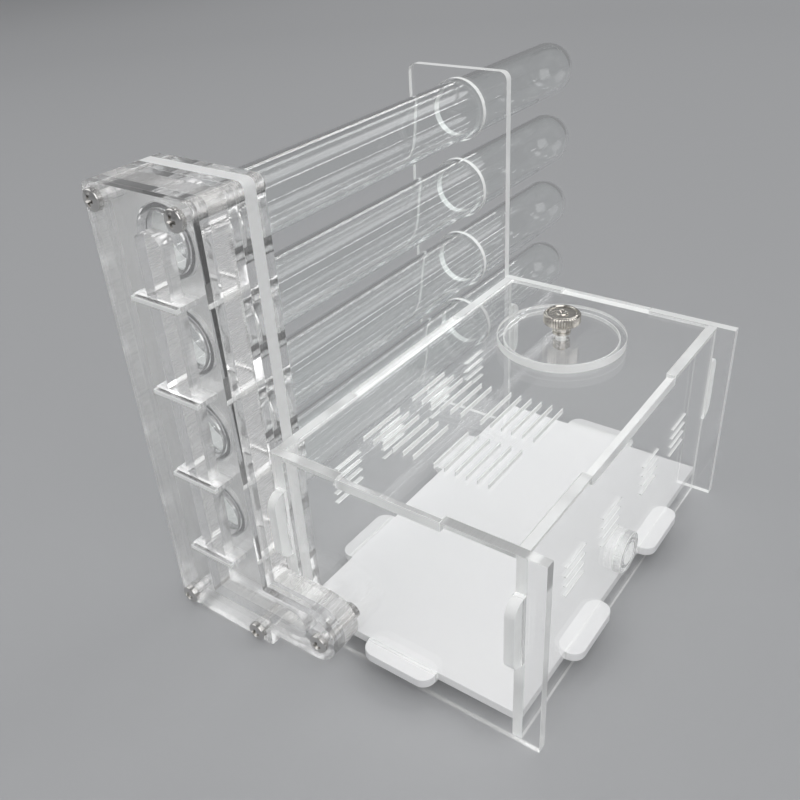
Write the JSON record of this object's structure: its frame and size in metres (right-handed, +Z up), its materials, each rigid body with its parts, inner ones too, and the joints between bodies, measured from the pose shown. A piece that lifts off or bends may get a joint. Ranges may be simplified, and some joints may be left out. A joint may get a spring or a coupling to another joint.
{
  "type": "ant habitat",
  "caption": "Clear ant foraging box with a lift-off feeding cap, beside slide-out test tubes joined by a slim gated tower.",
  "frame": {"origin": "on the table, under the middle of the whole habitat", "axes": "+X from the tower and tubes towards the box port, +Y from the tower along the test tubes to their round ends, +Z up"},
  "size_m": [0.126, 0.2204, 0.1418],
  "materials": {
    "clear_acrylic": "clear polished sheet with bright laser-cut edges",
    "white_floor": "white satin sheet",
    "milky_gasket": "milky translucent seal sheet",
    "clear_plug": "clear soft moulded plug",
    "nickel": "nickel plated, straight knurled rim",
    "steel": "bright zinc plated steel",
    "tube_glass": "clear drawn glass"
  },
  "bodies": {
    "habitat": {"near_wall": "clear_acrylic", "far_wall": "clear_acrylic", "left_wall": "clear_acrylic", "right_wall": "clear_acrylic", "lid_panel": "clear_acrylic", "port_ring": "clear_acrylic", "tower_front_plate": "clear_acrylic", "channel_plate_front": "clear_acrylic", "channel_plate_rear": "clear_acrylic", "passage_plate": "clear_acrylic", "tube_guide_plate": "clear_acrylic", "tower_rear_plate": "clear_acrylic", "floor_panel": "white_floor", "tube_gasket": "milky_gasket", "tower_screws": "steel", "tower_nuts": "steel", "arm_screw": "steel", "arm_nut": "steel"},
    "feed_cap": {"feed_cap_disc": "clear_acrylic", "feed_cap_plug": "clear_acrylic", "cap_nut": "steel"},
    "cap_screw": {"cap_thumb_screw": "nickel"},
    "port_stopper": {"port_plug": "clear_plug"},
    "gate_1": {"channel_gate_1": "clear_acrylic"},
    "gate_2": {"channel_gate_2": "clear_acrylic"},
    "gate_3": {"channel_gate_3": "clear_acrylic"},
    "gate_4": {"channel_gate_4": "clear_acrylic"},
    "tube_1": {"test_tube_1": "tube_glass"},
    "tube_2": {"test_tube_2": "tube_glass"},
    "tube_3": {"test_tube_3": "tube_glass"},
    "tube_4": {"test_tube_4": "tube_glass"}
  },
  "joints": [
    {"name": "tube_1_pull", "type": "slide", "parent": "habitat", "child": "tube_1", "axis": [0, 1, 0], "range_m": [0, 0.131]},
    {"name": "tube_2_pull", "type": "slide", "parent": "habitat", "child": "tube_2", "axis": [0, 1, 0], "range_m": [0, 0.131]},
    {"name": "tube_3_pull", "type": "slide", "parent": "habitat", "child": "tube_3", "axis": [0, 1, 0], "range_m": [0, 0.131]},
    {"name": "tube_4_pull", "type": "slide", "parent": "habitat", "child": "tube_4", "axis": [0, 1, 0], "range_m": [0, 0.131]},
    {"name": "gate_1_pull", "type": "slide", "parent": "habitat", "child": "gate_1", "axis": [0, -1, 0], "range_m": [0, 0.015]},
    {"name": "gate_2_pull", "type": "slide", "parent": "habitat", "child": "gate_2", "axis": [0, -1, 0], "range_m": [0, 0.015]},
    {"name": "gate_3_pull", "type": "slide", "parent": "habitat", "child": "gate_3", "axis": [0, -1, 0], "range_m": [0, 0.015]},
    {"name": "gate_4_pull", "type": "slide", "parent": "habitat", "child": "gate_4", "axis": [0, -1, 0], "range_m": [0, 0.015]},
    {"name": "feed_cap_lift", "type": "slide", "parent": "habitat", "child": "feed_cap", "axis": [0, 0, 1], "range_m": [0, 0.03]},
    {"name": "cap_screw_turn", "type": "hinge", "parent": "feed_cap", "child": "cap_screw", "pos_m": [0.0172, -0.0001, 0.07], "axis": [0, 0, 1], "continuous": true},
    {"name": "port_plug_pull", "type": "slide", "parent": "habitat", "child": "port_stopper", "axis": [1, 0, 0], "range_m": [0, 0.008]}
  ]
}
